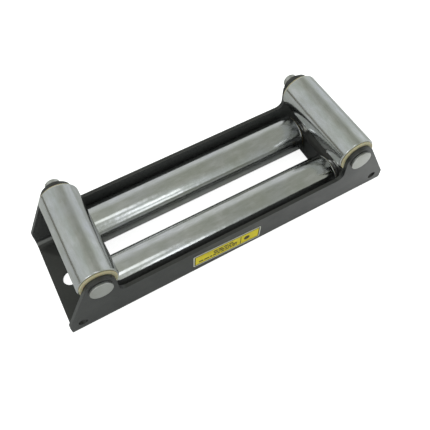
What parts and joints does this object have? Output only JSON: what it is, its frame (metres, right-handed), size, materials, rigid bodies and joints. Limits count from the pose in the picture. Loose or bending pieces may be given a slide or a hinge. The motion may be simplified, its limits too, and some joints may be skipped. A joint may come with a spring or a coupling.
{
  "type": "roller fairlead",
  "caption": "Roller fairlead in a bent steel channel: long rollers either side of a rope window and short rollers across its ends, each turning freely on its own pin.",
  "frame": {"origin": "midway between the two mounting bolt holes, on the mounting face under the base", "axes": "+X along the long rollers, +Y across them away from the flange with the corner holes, +Z out of the mounting face towards the short rollers"},
  "size_m": [0.282, 0.1013, 0.07],
  "materials": {
    "frame_paint": "satin black powder coat",
    "roller_steel": "polished",
    "bush_nylon": "moulded, smooth",
    "pin_steel": "turned and zinc plated",
    "washer_steel": "zinc plated",
    "clip_steel": "phosphated spring steel"
  },
  "bodies": {
    "frame": {"frame": "frame_paint", "long_near_pin": "pin_steel", "long_near_washer": "washer_steel", "long_near_clip": "clip_steel", "long_far_pin": "pin_steel", "long_far_washer": "washer_steel", "long_far_clip": "clip_steel", "short_left_pin": "pin_steel", "short_left_washer": "washer_steel", "short_left_clip": "clip_steel", "short_right_pin": "pin_steel", "short_right_washer": "washer_steel", "short_right_clip": "clip_steel"},
    "long_near_roller": {"long_near_roller": "roller_steel", "long_near_bush_left": "bush_nylon", "long_near_bush_right": "bush_nylon"},
    "long_far_roller": {"long_far_roller": "roller_steel", "long_far_bush_left": "bush_nylon", "long_far_bush_right": "bush_nylon"},
    "short_left_roller": {"short_left_roller": "roller_steel", "short_left_bush_near": "bush_nylon", "short_left_bush_far": "bush_nylon"},
    "short_right_roller": {"short_right_roller": "roller_steel", "short_right_bush_near": "bush_nylon", "short_right_bush_far": "bush_nylon"}
  },
  "joints": [
    {"name": "long_near_spin", "type": "hinge", "parent": "frame", "child": "long_near_roller", "pos_m": [0, -0.0247, 0.0194], "axis": [1, 0, 0], "continuous": true},
    {"name": "long_far_spin", "type": "hinge", "parent": "frame", "child": "long_far_roller", "pos_m": [0, 0.0247, 0.0194], "axis": [1, 0, 0], "continuous": true},
    {"name": "short_left_spin", "type": "hinge", "parent": "frame", "child": "short_left_roller", "pos_m": [-0.1093, 0, 0.0543], "axis": [0, 1, 0], "continuous": true},
    {"name": "short_right_spin", "type": "hinge", "parent": "frame", "child": "short_right_roller", "pos_m": [0.1093, 0, 0.0543], "axis": [0, 1, 0], "continuous": true}
  ]
}
